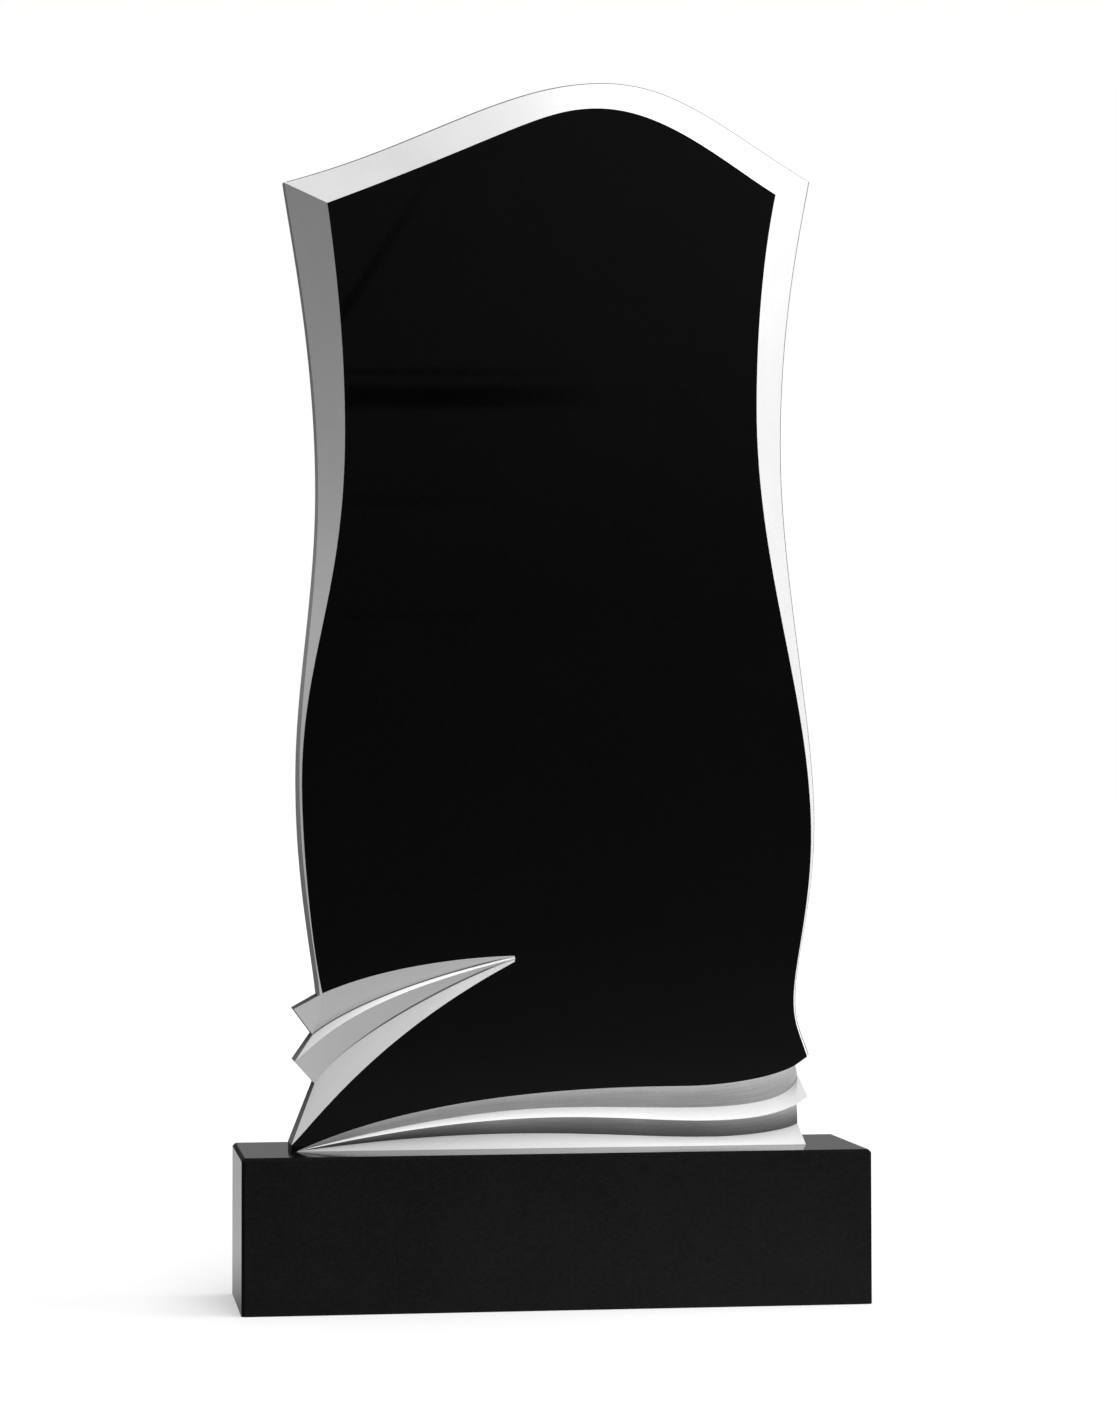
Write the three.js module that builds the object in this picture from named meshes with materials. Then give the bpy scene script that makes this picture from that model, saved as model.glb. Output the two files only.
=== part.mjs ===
// Headstone of black granite: a carved upright slab standing on a plain plinth.
// Millimetres, +Z up. The origin is the centre of the plinth's underside, and the front faces -Y.
import * as THREE from 'three';

// Plinth
const PLINTH_WIDTH = 600;
const PLINTH_DEPTH = 170;
const PLINTH_HEIGHT = 147;
const PLINTH_CHAMFER = 3;

// Slab
const SLAB_THICKNESS = 50;
const BED_GAP = 0.3; // clearance between the slab's foot and the plinth
const SIDE_STEPS = 72; // samples along each side of the slab
const TOP_STEPS = 48; // samples along the arched top
const RIBBON_STEPS = 48; // samples along each ribbon line
const PLEAT_STEPS = 32; // samples along each pleat line

// Depth of the carving behind the polished face
const PLEAT_RIDGE_DEPTH = 0.5;
const UPPER_PLEAT_DEPTH = 9; // first valley of the pleats, at its outer end
const LOWER_PLEAT_DEPTH = 10; // second valley of the pleats, at its outer end
const UPPER_PLEAT_CORNER_DEPTH = 10; // outer corner of the top pleat
const RIBBON_RIDGE_DEPTH = 1.2;
const RIBBON_VALLEY_DEPTH = 11;
const RIBBON_NOTCH_DEPTH = 4; // foot of the undercut below the ridge's free tip
const RIBBON_RISE = 0.5; // share of a ribbon's length over which it reaches its full depth

// Outlines in the slab's own plane: x to the right, z up from the slab's foot.
// A curve is a chain of cubic Bezier pieces: start, two handles, end, two handles, end.
// Polished face: shoulders, waists and bellies of the two sides, and the arched top
const FACE_LEFT = [
  [-216, 906], [-202, 808], [-199, 736], [-199, 686],
  [-199, 530], [-240, 471], [-240, 350],
  [-240, 289], [-230, 190], [-220.3, 149.6],
];
const FACE_TOP = [
  [-216, 906], [-36, 977], [-7, 1004], [50, 1004],
  [115, 1004], [174, 952], [222, 924],
];
const FACE_RIGHT = [
  [222, 924], [206, 848], [202.5, 763], [202.5, 713],
  [202.5, 555], [255, 434], [255, 300],
  [255, 230], [237, 174], [237, 139],
  [237, 117], [242, 109.5], [250.2, 84.4],
];

// Outer edge of the bevel, which is also the outline of the slab's back
const EDGE_LEFT = [
  [-256, 931.5], [-249, 882], [-224, 764], [-224, 632],
  [-224, 528], [-243, 448], [-243, 355],
  [-243, 259], [-229, 197], [-223.6, 147.3],
];
const EDGE_TOP = [
  [-256, 931.5], [-124, 966], [-44, 1035.5], [66, 1035.5],
  [130, 1035.5], [174, 998], [264, 944],
];
const EDGE_RIGHT = [
  [264, 944], [254.5, 890], [232.5, 800], [232.5, 665],
  [232.5, 546], [259.5, 402], [259.5, 318],
  [259.5, 228], [239.5, 186], [239.5, 137],
  [239.5, 115], [246, 107], [252.5, 86.1],
];

// Pleats at the lower left: five lines that run from the slab's left edge to one narrow nose
const PLEAT_TOP = [[-220.3, 149.6], [-150, 180], [-56, 184], [-36, 184]];
const PLEAT_UPPER_VALLEY = [[-229, 110], [-179, 150], [-61.5, 178.5], [-35.5, 182.8]];
const PLEAT_RIDGE = [[-246.5, 85], [-217, 111], [-185, 145.5], [-35.2, 181.6]];
const PLEAT_LOWER_VALLEY = [[-227, 63.5], [-190, 117.5], [-55.5, 177], [-35.5, 180.2]];
const PLEAT_BOTTOM = [[-249.7, 6], [-228.5, 25.5], [-171.5, 107.5], [-35.8, 178.3]];
const PLEAT_TOP_CORNER = [-247, 134.3];

// Ribbons along the foot: four lines that leave one point at the left and sweep to the right
const RIBBON_START = [-245, 0];
const RIBBON_TOP = [
  RIBBON_START, [-117, 57], [55.5, 57.5], [130, 57.5],
  [162, 57.5], [212.5, 62.5], [238.3, 76.2],
];
const RIBBON_UPPER_VALLEY = [
  RIBBON_START, [-36.5, 50], [24, 36], [140, 36],
  [220, 36], [242, 50], [242.5, 66.5],
];
const RIBBON_RIDGE = [
  RIBBON_START, [-21.5, 45.5], [65, 24], [150, 24],
  [205, 24], [222, 31], [239.8, 38.3],
];
const RIBBON_LOWER_VALLEY = [
  RIBBON_START, [-40.5, 24.5], [62, 7.5], [155, 7.5],
  [200, 7.5], [236, 14], [242.5, 19.5],
];
const RIBBON_RIDGE_TIP = [251, 45.6];
const RIBBON_NOTCH = [238.3, 33];
const FOOT_RIGHT = [248.5, 0];
const FOOT_LEFT = [-249.7, 0];

// Points carry the depth behind the polished face as their second number.
function point(x, depth, z) {
  return new THREE.Vector3(x, depth, z);
}

function flat([x, z], depth = 0) {
  return point(x, depth, z);
}

// Evenly spaced points along a chain of Bezier pieces, with a depth for each share of the length
function sample(controls, steps, depthAt = () => 0) {
  const path = new THREE.CurvePath();
  for (let i = 0; i + 3 < controls.length; i += 3) {
    const corners = controls.slice(i, i + 4).map(([x, z]) => new THREE.Vector2(x, z));
    path.add(new THREE.CubicBezierCurve(...corners));
  }
  return path.getSpacedPoints(steps).map((p, i) => point(p.x, depthAt(i / steps), p.y));
}

// How far each outer point lies from the line that its inner partner's edge runs along
function insets(inner, outer) {
  return inner.map((p, i) => {
    const before = inner[Math.max(i - 1, 0)];
    const after = inner[Math.min(i + 1, inner.length - 1)];
    const along = after.clone().sub(before).normalize();
    const across = outer[i].clone().sub(p);
    return Math.abs(along.x * across.z - along.z * across.x);
  });
}

// A 45 degree bevel is as deep as it is wide. An end at a shoulder is eased to the depth of that corner.
function sinkBevel(inner, outer, startDepth, endDepth) {
  const depths = insets(inner, outer);
  const last = depths.length - 1;
  const startError = (startDepth ?? depths[0]) - depths[0];
  const endError = (endDepth ?? depths[last]) - depths[last];
  outer.forEach((p, i) => {
    p.y = depths[i] + THREE.MathUtils.lerp(startError, endError, i / last);
  });
}

// Triangles gathered by position, so that patches which share a line close up exactly
class Patchwork {
  constructor() {
    this.positions = [];
  }

  triangle(a, b, c) {
    const degenerate = a.equals(b) || b.equals(c) || c.equals(a);
    if (!degenerate) this.positions.push(...a.toArray(), ...b.toArray(), ...c.toArray());
  }

  // Strip between two lines of points, crossed at each step by the shorter of the two diagonals
  strip(a, b) {
    const lastA = a.length - 1;
    const lastB = b.length - 1;
    let i = 0;
    let j = 0;
    while (i < lastA || j < lastB) {
      const free = i < lastA && j < lastB;
      const shorterAlongA = free && a[i + 1].distanceTo(b[j]) <= a[i].distanceTo(b[j + 1]);
      if (j === lastB || shorterAlongA) {
        this.triangle(a[i], b[j], a[i + 1]);
        i += 1;
      } else {
        this.triangle(a[i], b[j], b[j + 1]);
        j += 1;
      }
    }
  }

  // Flat cap inside a closed line. The line runs so that the cap faces the way `flip` false gives.
  cap(outline, toPlane, flip) {
    const contour = outline.map(toPlane);
    for (const [i, j, k] of THREE.ShapeUtils.triangulateShape(contour, [])) {
      const turned = THREE.ShapeUtils.area([contour[i], contour[j], contour[k]]) < 0;
      const order = turned === flip ? [i, j, k] : [i, k, j];
      this.triangle(...order.map((n) => outline[n]));
    }
  }

  geometry() {
    const geometry = new THREE.BufferGeometry();
    geometry.setAttribute('position', new THREE.Float32BufferAttribute(this.positions, 3));
    geometry.computeVertexNormals();
    return geometry;
  }
}

function buildSlab() {
  const stone = new Patchwork();

  // Polished face and the bevel round its two sides and its top
  const faceLeft = sample(FACE_LEFT, SIDE_STEPS);
  const faceTop = sample(FACE_TOP, TOP_STEPS);
  const faceRight = sample(FACE_RIGHT, SIDE_STEPS);
  const edgeLeft = sample(EDGE_LEFT, SIDE_STEPS);
  const edgeTop = sample(EDGE_TOP, TOP_STEPS);
  const edgeRight = sample(EDGE_RIGHT, SIDE_STEPS);
  const leftShoulder = (insets(faceLeft, edgeLeft)[0] + insets(faceTop, edgeTop)[0]) / 2;
  const rightShoulder = (insets(faceRight, edgeRight)[0] + insets(faceTop, edgeTop)[TOP_STEPS]) / 2;
  sinkBevel(faceLeft, edgeLeft, leftShoulder);
  sinkBevel(faceTop, edgeTop, leftShoulder, rightShoulder);
  sinkBevel(faceRight, edgeRight, rightShoulder);
  stone.strip(faceLeft, edgeLeft);
  stone.strip(edgeTop, faceTop);
  stone.strip(edgeRight, faceRight);

  // Pleats: top, valley, ridge, valley, bottom, all level with the face at their nose
  const fading = (depth) => (share) => depth * (1 - share);
  const pleatTop = sample(PLEAT_TOP, PLEAT_STEPS);
  const upperValley = sample(PLEAT_UPPER_VALLEY, PLEAT_STEPS, fading(UPPER_PLEAT_DEPTH));
  const pleatRidge = sample(PLEAT_RIDGE, PLEAT_STEPS, fading(PLEAT_RIDGE_DEPTH));
  const lowerValley = sample(PLEAT_LOWER_VALLEY, PLEAT_STEPS, fading(LOWER_PLEAT_DEPTH));
  const pleatBottom = sample(PLEAT_BOTTOM, PLEAT_STEPS);
  const pleatCorner = flat(PLEAT_TOP_CORNER, UPPER_PLEAT_CORNER_DEPTH);
  const bevelEnd = edgeLeft[SIDE_STEPS];
  stone.strip([pleatCorner, bevelEnd, ...pleatTop], upperValley);
  stone.strip(upperValley, pleatRidge);
  stone.strip(pleatRidge, lowerValley);
  stone.strip(lowerValley, pleatBottom);

  // Ribbons: they deepen from their shared point, and the ridge runs out to a free tip at the right
  const deepening = (depth) => (share) => depth * Math.sin(Math.min(share / RIBBON_RISE, 1) * Math.PI / 2);
  const ribbonTop = sample(RIBBON_TOP, RIBBON_STEPS);
  const firstValley = sample(RIBBON_UPPER_VALLEY, RIBBON_STEPS, deepening(RIBBON_VALLEY_DEPTH));
  const ribbonRidge = sample(RIBBON_RIDGE, RIBBON_STEPS, deepening(RIBBON_RIDGE_DEPTH));
  const secondValley = sample(RIBBON_LOWER_VALLEY, RIBBON_STEPS, deepening(RIBBON_VALLEY_DEPTH));
  const ridgeTip = flat(RIBBON_RIDGE_TIP, RIBBON_RIDGE_DEPTH);
  const notch = flat(RIBBON_NOTCH, RIBBON_NOTCH_DEPTH);
  const footRight = flat(FOOT_RIGHT);
  const footLine = secondValley.map((p, i) => ribbonTop[0].clone().lerp(footRight, i / RIBBON_STEPS));
  stone.strip(ribbonTop, firstValley);
  stone.strip(firstValley, [...ribbonRidge, ridgeTip]);
  stone.strip([...ribbonRidge, notch], secondValley);
  stone.strip(secondValley, footLine);

  // Face: down the left side, out and back along the pleats, along the ribbons and up the right side
  const footLeft = flat(FOOT_LEFT);
  const nose = [pleatTop, upperValley, pleatRidge, lowerValley, pleatBottom].map((line) => line[PLEAT_STEPS]);
  const faceOutline = [
    ...faceLeft.slice(0, -1),
    ...pleatTop.slice(0, -1),
    ...nose,
    ...pleatBottom.slice(0, -1).reverse(),
    footLeft,
    ...ribbonTop,
    ...faceRight.slice(1).reverse(),
    ...faceTop.slice(1).reverse(),
  ];
  const frontPlane = (p) => new THREE.Vector2(p.x, p.z);
  stone.cap(faceOutline, frontPlane, false);

  // Sides: the front rim, all the way round, is joined to the same outline on the back
  const rimFromFoot = [
    footLeft,
    pleatBottom[0],
    lowerValley[0],
    pleatRidge[0],
    upperValley[0],
    pleatCorner,
    ...edgeLeft.slice().reverse(),
    ...edgeTop.slice(1),
    ...edgeRight.slice(1),
    faceRight[SIDE_STEPS],
    ribbonTop[RIBBON_STEPS],
    firstValley[RIBBON_STEPS],
    ridgeTip,
    ribbonRidge[RIBBON_STEPS],
    notch,
    secondValley[RIBBON_STEPS],
    footRight,
  ];
  const backRim = rimFromFoot.map((p) => point(p.x, SLAB_THICKNESS, p.z));
  for (let i = 1; i < rimFromFoot.length; i += 1) {
    stone.triangle(rimFromFoot[i - 1], rimFromFoot[i], backRim[i]);
    stone.triangle(rimFromFoot[i - 1], backRim[i], backRim[i - 1]);
  }
  stone.strip([footLeft, ...footLine], [backRim[0], backRim[backRim.length - 1]]);
  stone.cap(backRim, frontPlane, true);

  const geometry = stone.geometry();
  geometry.translate(0, -SLAB_THICKNESS / 2, 0);
  return geometry;
}

// Rectangle with its corners cut off, drawn in from the plinth's sides by `inset`
function plinthRing(inset, z) {
  const x = PLINTH_WIDTH / 2 - inset;
  const y = PLINTH_DEPTH / 2 - inset;
  const cut = PLINTH_CHAMFER - inset * (2 - Math.SQRT2);
  const ring = [
    [x, cut - y], [x, y - cut], [x - cut, y], [cut - x, y],
    [-x, y - cut], [-x, cut - y], [cut - x, -y], [x - cut, -y],
  ];
  return ring.map(([px, py]) => point(px, py, z));
}

function buildPlinth() {
  const block = new Patchwork();
  const rings = [
    plinthRing(0, 0),
    plinthRing(0, PLINTH_HEIGHT - PLINTH_CHAMFER),
    plinthRing(PLINTH_CHAMFER, PLINTH_HEIGHT),
  ];
  for (let i = 1; i < rings.length; i += 1) {
    const lower = rings[i - 1];
    const upper = rings[i];
    lower.forEach((p, k) => {
      const next = (k + 1) % lower.length;
      block.triangle(p, lower[next], upper[next]);
      block.triangle(p, upper[next], upper[k]);
    });
  }
  const topPlane = (p) => new THREE.Vector2(p.x, p.y);
  block.cap(rings[0], topPlane, true);
  block.cap(rings[rings.length - 1], topPlane, false);
  return block.geometry();
}

function mesh(name, geometry, material) {
  const node = new THREE.Mesh(geometry, material);
  node.name = name;
  return node;
}

const carvedGranite = new THREE.MeshStandardMaterial({ color: '#2a2b2c', roughness: 0.3, metalness: 0 });
const polishedGranite = new THREE.MeshStandardMaterial({ color: '#19191a', roughness: 0.12, metalness: 0 });

const slab = mesh('headstone_slab', buildSlab(), carvedGranite);
slab.position.z = PLINTH_HEIGHT + BED_GAP;

const headstone = new THREE.Group();
headstone.add(mesh('plinth', buildPlinth(), polishedGranite), slab);

export default headstone;
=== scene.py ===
# %% [markdown]
# # A headstone of black granite
#
# The real object is two stones. An upright slab, 50 mm thick, is polished on its face and milled to a
# pale matt grey wherever a tool has cut it: a wide bevel round the two sides and the top, a fan of pleats
# at the lower left, and ribbons along the foot. It stands on a plain plinth, polished all round.
#
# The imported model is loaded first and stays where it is. Everything made below is in metres in that same
# frame: the origin is under the middle of the plinth, the front faces -Y and Z is up.

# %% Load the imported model
import math

import bmesh
import bpy
import numpy as np
from mathutils import Matrix, Vector


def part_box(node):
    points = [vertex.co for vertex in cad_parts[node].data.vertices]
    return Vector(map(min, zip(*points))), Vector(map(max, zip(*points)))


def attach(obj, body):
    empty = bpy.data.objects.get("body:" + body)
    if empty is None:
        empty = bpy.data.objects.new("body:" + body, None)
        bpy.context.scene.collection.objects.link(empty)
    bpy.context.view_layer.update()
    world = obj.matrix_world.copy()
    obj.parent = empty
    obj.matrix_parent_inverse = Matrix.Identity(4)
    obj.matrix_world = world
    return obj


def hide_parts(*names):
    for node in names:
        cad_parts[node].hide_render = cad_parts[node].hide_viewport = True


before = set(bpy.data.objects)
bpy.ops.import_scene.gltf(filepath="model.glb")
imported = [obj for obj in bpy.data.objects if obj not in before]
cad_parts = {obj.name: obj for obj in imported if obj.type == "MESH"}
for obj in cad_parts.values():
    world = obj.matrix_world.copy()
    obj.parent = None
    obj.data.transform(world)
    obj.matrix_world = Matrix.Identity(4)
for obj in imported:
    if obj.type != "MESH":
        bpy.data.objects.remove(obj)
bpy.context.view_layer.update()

# %% [markdown]
# ## Small helpers for colours and nodes
#
# Colours are easiest to pick as sRGB hex values, but a shader wants linear light, so one function
# converts them. Another adds a node: plain values and other nodes' outputs go in through the same
# dictionary, which keeps every material a short list of lines. A third gives a colour ramp its stops.
# Lengths are written in millimetres and scaled once.

# %% Colour, node and unit helpers
MM = 0.001


def hex_colour(code):
    """Linear RGBA from an sRGB hex code such as '#b4b4b3'."""
    values = [int(code[i : i + 2], 16) / 255 for i in (1, 3, 5)]
    linear = [v / 12.92 if v <= 0.04045 else ((v + 0.055) / 1.055) ** 2.4 for v in values]
    return (*linear, 1.0)


def in_use(sockets, name=None):
    """The first socket in use, or the first with that name. Some nodes hide several sockets of one name."""
    return next(s for s in sockets if s.enabled and name in (None, s.name))


def add_node(tree, kind, inputs=None, **settings):
    """Adds a node, sets its properties, and fills its inputs with values or other nodes' outputs."""
    made = tree.nodes.new(kind)
    for name, value in settings.items():
        setattr(made, name, value)
    for name, value in (inputs or {}).items():
        socket = made.inputs[name] if isinstance(name, int) else in_use(made.inputs, name)
        if isinstance(value, bpy.types.Node):
            value = in_use(value.outputs)
        if isinstance(value, bpy.types.NodeSocket):
            tree.links.new(value, socket)
        else:
            socket.default_value = value
    return made


def set_stops(ramp, stops):
    """Gives a colour ramp its stops, as (position, linear colour) pairs."""
    points = ramp.color_ramp.elements
    while len(points) < len(stops):
        points.new(0.5)
    for point, (place, colour) in zip(points, stops):
        point.position = place
        point.color = colour


print("black granite, linear:", [round(v, 4) for v in hex_colour("#101011")])

# %% [markdown]
# ## The camera
#
# The picture was taken a little to the left of the stone, about 3.4 m away and at knee height, with a
# long lens. The position and the three angles were solved from the plinth's corners and the slab's
# outline, so they are written as real lengths and degrees. A camera can also be aimed with a constraint,
# but this one is rolled a little as well, so its matrix is made from three plain directions: right, up
# and forward.

# %% Camera at the photograph's angle
CAMERA_PLACE = Vector((-481.2, -3436.4, 464.1)) * MM
CAMERA_YAW = math.radians(8.154)  # to the right of +Y
CAMERA_PITCH = math.radians(1.821)  # upwards
CAMERA_ROLL = math.radians(-0.091)
CAMERA_FOCAL_PIXELS = 3579.6
PICTURE_HEIGHT = 1407  # pixels along the picture's long side
SENSOR = 36  # mm along that same side

camera = bpy.data.objects.new("camera", bpy.data.cameras.new("camera"))
bpy.context.scene.collection.objects.link(camera)
camera.data.sensor_width = SENSOR
camera.data.lens = CAMERA_FOCAL_PIXELS * SENSOR / PICTURE_HEIGHT
forward = Vector((
    math.sin(CAMERA_YAW) * math.cos(CAMERA_PITCH),
    math.cos(CAMERA_YAW) * math.cos(CAMERA_PITCH),
    math.sin(CAMERA_PITCH),
))
level_right = Vector((math.cos(CAMERA_YAW), -math.sin(CAMERA_YAW), 0))
level_up = level_right.cross(forward)
right = level_right * math.cos(CAMERA_ROLL) + level_up * math.sin(CAMERA_ROLL)
up = right.cross(forward)
turn = Matrix((right, up, -forward)).transposed().to_4x4()
camera.matrix_world = Matrix.Translation(CAMERA_PLACE) @ turn
bpy.context.scene.camera = camera
print("lens in mm:", round(camera.data.lens, 2))

# %% [markdown]
# ## The floor
#
# The stone stands on plain white, which shows only as a faint grey shadow beside the plinth. A plain
# white plane would also throw light up at the carving and show in the polish, and the world below already
# does both. So this one is hidden from reflections and bounced light. Part of its white is a glow of its
# own, which no shadow takes away, and that keeps the shadow as faint as in the picture.

# %% Floor
FLOOR_HALF = 40.0  # metres from the middle to each side
PAPER_GREY = "#979797"
PAPER_GLOW = 0.36

floor_mesh = bpy.data.meshes.new("floor")
floor_corners = [(x * FLOOR_HALF, y * FLOOR_HALF, 0) for x, y in ((-1, -1), (1, -1), (1, 1), (-1, 1))]
floor_mesh.from_pydata(floor_corners, [], [(0, 1, 2, 3)])
floor = bpy.data.objects.new("floor", floor_mesh)
bpy.context.scene.collection.objects.link(floor)
floor.visible_glossy = False
floor.visible_diffuse = False

paper = bpy.data.materials.new("white paper sweep")
paper.use_nodes = True
tree = paper.node_tree
tree.nodes.clear()
matt = add_node(tree, "ShaderNodeBsdfDiffuse", {"Color": hex_colour(PAPER_GREY)})
glow = add_node(tree, "ShaderNodeEmission", {"Color": hex_colour("#ffffff"), "Strength": PAPER_GLOW})
both = add_node(tree, "ShaderNodeAddShader", {0: matt, 1: glow})
add_node(tree, "ShaderNodeOutputMaterial", {"Surface": both})
floor_mesh.materials.append(paper)
print("floor, metres each way:", 2 * FLOOR_HALF)

# %% [markdown]
# ## The light
#
# Catalogue pictures of memorials are lit softly from the upper right, so that bevels on the right turn
# almost white and those on the left stay grey. Area lamps would do, but they weaken with distance. Suns
# with a wide disc stand for large soft boxes far away: they light every part alike, and two angles place
# them. They are kept out of the reflections, because polished granite would show each one as a bright
# disc.

# %% Suns, each by where it shines from: degrees right of the front, and degrees above the floor
SUNS = {
    "soft box above the camera": {"azimuth": 0, "elevation": 42, "disc": 50, "strength": 3.3},
    "soft box at the right": {"azimuth": 80, "elevation": 12, "disc": 50, "strength": 4.0},
    "soft box overhead": {"azimuth": 90, "elevation": 78, "disc": 50, "strength": 4.2},
}


def add_sun(name, azimuth, elevation, disc, strength):
    """A sun that only matt surfaces show. Its disc is as many degrees wide as the soft box looks."""
    light = bpy.data.lights.new(name, "SUN")
    light.energy = strength
    light.angle = math.radians(disc)
    lamp = bpy.data.objects.new(name, light)
    side, height = math.radians(azimuth), math.radians(elevation)
    shines_from = Vector((
        math.sin(side) * math.cos(height),
        -math.cos(side) * math.cos(height),
        math.sin(height),
    ))
    lamp.rotation_mode = "QUATERNION"
    lamp.rotation_quaternion = shines_from.to_track_quat("Z", "Y")
    lamp.visible_glossy = False
    bpy.context.scene.collection.objects.link(lamp)
    return lamp


suns = [add_sun(name, **settings) for name, settings in SUNS.items()]
print("suns:", [lamp.name for lamp in suns])

# %% [markdown]
# ## The room that the polish shows
#
# Polished black stone is seen mostly by what it reflects. The front faces mirror a dim room on the
# camera's side, paler towards its floor and towards the right, with a few dark beams across it. The
# plinth's top and left end, seen at a low angle, mirror a paler room behind the stone. A picture of a
# studio could be wrapped round the scene, but lists of greys by height need few numbers and can be
# matched one by one.
#
# A direction's height is the Z of its tip. A beam is a straight line in such heights: it crosses the
# middle at `height`, climbs to the right by `slope`, is `half` thick each way, stays dark as far right as
# `full_to` and is gone by `gone_by`.

# %% Heights, greys and beams of the room
FRONT_ROOM = (
    (-0.5, 0.2), (-0.115, 0.2), (-0.095, 0.13), (-0.078, 0.13), (-0.062, 0.08), (-0.033, 0.05),
    (0.02, 0.036), (0.06, 0.036), (0.09, 0.045), (0.127, 0.06), (0.19, 0.08), (0.6, 0.08),
)
BACK_ROOM = (
    (-0.5, 0.2), (-0.134, 0.2), (-0.128, 0.47), (-0.12, 0.68), (-0.1, 0.63),
    (-0.03, 0.6), (0.06, 0.29), (0.3, 0.25), (0.8, 0.06),
)
BEAMS = (
    {"height": 0.0144, "slope": 1.546, "half": 0.0024, "full_to": 0.08, "gone_by": 0.115, "strength": 0.85},
    {"height": 0.1238, "slope": 0, "half": 0.0009, "full_to": 0.105, "gone_by": 0.155, "strength": 0.7},
    {"height": 0.1171, "slope": 0, "half": 0.003, "full_to": 0.111, "gone_by": 0.165, "strength": 1.0},
    {"height": 0.0884, "slope": 0, "half": 0.0014, "full_to": 0.09, "gone_by": 0.14, "strength": 0.4},
    {"height": 0.0562, "slope": 0, "half": 0.0012, "full_to": 0.09, "gone_by": 0.15, "strength": 0.35},
)
BEAM_BLUR = 0.3  # of a beam's thickness


def room_brightness(tree, height, stops):
    """A grey for each height of a direction's tip, from (height, grey) pairs."""
    lowest, highest = stops[0][0], stops[-1][0]
    share = add_node(
        tree, "ShaderNodeMapRange", {"Value": height, "From Min": lowest, "From Max": highest}
    )
    ramp = add_node(tree, "ShaderNodeValToRGB", {"Fac": share})
    set_stops(ramp, [
        ((place - lowest) / (highest - lowest), (grey, grey, grey, 1)) for place, grey in stops
    ])
    return ramp


def beam(tree, across, upwards, height, slope, half, full_to, gone_by, strength):
    """How much light is left beside a dark beam of the room: 1 off the beam, less on it."""
    line = add_node(tree, "ShaderNodeMath", {0: across, 1: slope, 2: height}, operation="MULTIPLY_ADD")
    off_line = add_node(tree, "ShaderNodeMath", {0: upwards, 1: line}, operation="SUBTRACT")
    distance = add_node(tree, "ShaderNodeMath", {0: off_line}, operation="ABSOLUTE")
    on_beam = add_node(
        tree, "ShaderNodeMapRange",
        {"Value": distance, "From Min": half * (1 + BEAM_BLUR), "From Max": half * (1 - BEAM_BLUR)},
        interpolation_type="SMOOTHSTEP",
    )
    reach = add_node(
        tree, "ShaderNodeMapRange", {"Value": across, "From Min": gone_by, "From Max": full_to},
        interpolation_type="SMOOTHSTEP",
    )
    shadow = add_node(tree, "ShaderNodeMath", {0: on_beam, 1: reach}, operation="MULTIPLY")
    taken = add_node(tree, "ShaderNodeMath", {0: shadow, 1: strength}, operation="MULTIPLY")
    return add_node(tree, "ShaderNodeMath", {0: 1, 1: taken}, operation="SUBTRACT")


print("heights given, front and back:", len(FRONT_ROOM), len(BACK_ROOM), "beams:", len(BEAMS))

# %% [markdown]
# ## The world
#
# The room is drawn as the scene's world, which every ray sees that misses the stone. It is drawn twice:
# plain white where the camera looks straight at it, as in the picture, and the dim room for every other
# ray. The generated coordinate of a world is the direction that a ray takes.

# %% World: white for the camera, the room for everything else
ROOM_LEFT, ROOM_RIGHT = (0.07, 0.75), (0.2, 1.25)  # X of a direction's tip, brightness
BACK_STARTS, BACK_FULL = 0.3, 0.9  # Y of a direction's tip

world = bpy.data.worlds.new("studio")
bpy.context.scene.world = world
world.use_nodes = True
tree = world.node_tree
tree.nodes.clear()
direction = add_node(tree, "ShaderNodeTexCoord")
axes = add_node(tree, "ShaderNodeSeparateXYZ", {"Vector": direction.outputs["Generated"]})
brightness = add_node(
    tree, "ShaderNodeMapRange",
    {
        "Value": axes.outputs["X"], "From Min": ROOM_LEFT[0], "From Max": ROOM_RIGHT[0],
        "To Min": ROOM_LEFT[1], "To Max": ROOM_RIGHT[1],
    },
)
for settings in BEAMS:
    light_left = beam(tree, axes.outputs["X"], axes.outputs["Z"], **settings)
    brightness = add_node(tree, "ShaderNodeMath", {0: brightness, 1: light_left}, operation="MULTIPLY")
front_wall = room_brightness(tree, axes.outputs["Z"], FRONT_ROOM)
front_room = add_node(
    tree, "ShaderNodeVectorMath", {0: front_wall, "Scale": brightness}, operation="SCALE"
)
back_room = room_brightness(tree, axes.outputs["Z"], BACK_ROOM)
backwards = add_node(
    tree, "ShaderNodeMapRange",
    {"Value": axes.outputs["Y"], "From Min": BACK_STARTS, "From Max": BACK_FULL},
    interpolation_type="SMOOTHSTEP",
)
room = add_node(
    tree, "ShaderNodeMix", {"Factor": backwards, "A": front_room, "B": back_room}, data_type="RGBA"
)
ray = add_node(tree, "ShaderNodeLightPath")
seen = add_node(
    tree, "ShaderNodeMix",
    {"Factor": ray.outputs["Is Camera Ray"], "A": room, "B": hex_colour("#ffffff")}, data_type="RGBA",
)
background = add_node(tree, "ShaderNodeBackground", {"Color": seen})
add_node(tree, "ShaderNodeOutputWorld", {"Surface": background})
bpy.context.scene.view_settings.view_transform = "Standard"
print("world nodes:", len(tree.nodes))

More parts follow.
